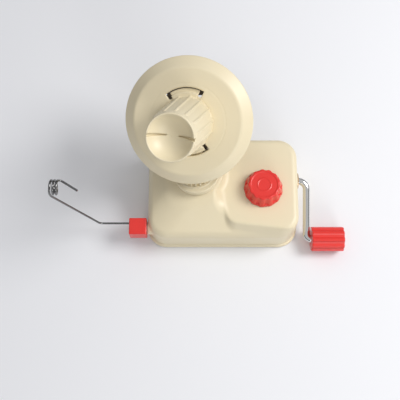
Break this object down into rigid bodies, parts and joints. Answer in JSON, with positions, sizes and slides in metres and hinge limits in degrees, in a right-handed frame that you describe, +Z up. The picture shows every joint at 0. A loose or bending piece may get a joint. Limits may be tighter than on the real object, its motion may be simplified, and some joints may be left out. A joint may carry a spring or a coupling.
{
  "type": "yarn ball winder",
  "caption": "Hand-cranked yarn winder with a leaning spool on a round flange, a table clamp screw and a folding wire yarn guide.",
  "frame": {"origin": "centre of the body's underside", "axes": "+Z up, +X along the crank shaft towards the crank, +Y to the back"},
  "size_m": [0.2327, 0.1287, 0.1648],
  "materials": {
    "cream_plastic": "moulded, semi-gloss",
    "red_plastic": "moulded, semi-gloss",
    "black_nylon": "moulded nylon, satin",
    "chrome": "chrome-plated rod",
    "steel": "bright drawn steel",
    "bronze": "sintered bronze",
    "rubber": "matte"
  },
  "bodies": {
    "body": {"top_housing": "cream_plastic", "base_plate": "cream_plastic", "rubber_pads": "rubber", "housing_screws": "steel", "outer_shaft_bush": "bronze", "inner_shaft_bush": "bronze", "lower_neck_bush": "bronze", "upper_neck_bush": "bronze", "collar_gear": "cream_plastic", "guide_pivot": "steel", "guide_washer": "steel"},
    "crank": {"crank_rod": "chrome", "crank_gear": "black_nylon", "shaft_collar": "steel", "grip_cap": "steel"},
    "grip": {"handle_grip": "red_plastic"},
    "head": {"head_shaft": "steel", "head_pinion": "black_nylon", "thrust_washer": "steel", "head_arm": "cream_plastic", "spindle_bush": "bronze"},
    "spool": {"spool_spindle": "steel", "planet_gear": "black_nylon", "flange_disc": "cream_plastic", "winding_spool": "cream_plastic"},
    "knob": {"clamp_knob": "red_plastic", "clamp_screw": "steel", "screw_clip": "steel"},
    "jaw": {"clamp_bracket": "steel", "jaw_pad": "rubber"},
    "guide": {"guide_block": "red_plastic", "guide_wire": "steel"}
  },
  "joints": [
    {"name": "crank_turn", "type": "hinge", "parent": "body", "child": "crank", "pos_m": [-0.0165, 0.009, 0.025], "axis": [1, 0, 0], "continuous": true},
    {"name": "grip_spin", "type": "hinge", "parent": "crank", "child": "grip", "pos_m": [0.0753, -0.03781, 0.01051], "axis": [1, 0, 0], "continuous": true},
    {"name": "head_turn", "type": "hinge", "parent": "body", "child": "head", "pos_m": [-0.0165, 0.009, 0.025], "axis": [-0.1736, 0, 0.9848], "continuous": true},
    {"name": "spool_turn", "type": "hinge", "parent": "head", "child": "spool", "pos_m": [-0.03595, 0.009, 0.1353], "axis": [-0.1488, -0.515, 0.8441], "continuous": true},
    {"name": "knob_turn", "type": "hinge", "parent": "body", "child": "knob", "pos_m": [0.033, -0.0032, 0.042], "axis": [0, 0, 1], "range_deg": [0, 3600]},
    {"name": "jaw_slide", "type": "slide", "parent": "body", "child": "jaw", "axis": [0, 0, -1], "range_m": [0, 0.025]},
    {"name": "guide_swing", "type": "hinge", "parent": "body", "child": "guide", "pos_m": [-0.0641, -0.0307, 0.02], "axis": [1, 0, 0], "range_deg": [-90, 0]}
  ],
  "couplings": [
    {"joint": "head_turn", "follows": "crank_turn", "ratio": -2.25},
    {"joint": "spool_turn", "follows": "crank_turn", "ratio": -1.125},
    {"joint": "knob_turn", "follows": "jaw_slide", "rad_per_m": 2513.2}
  ]
}
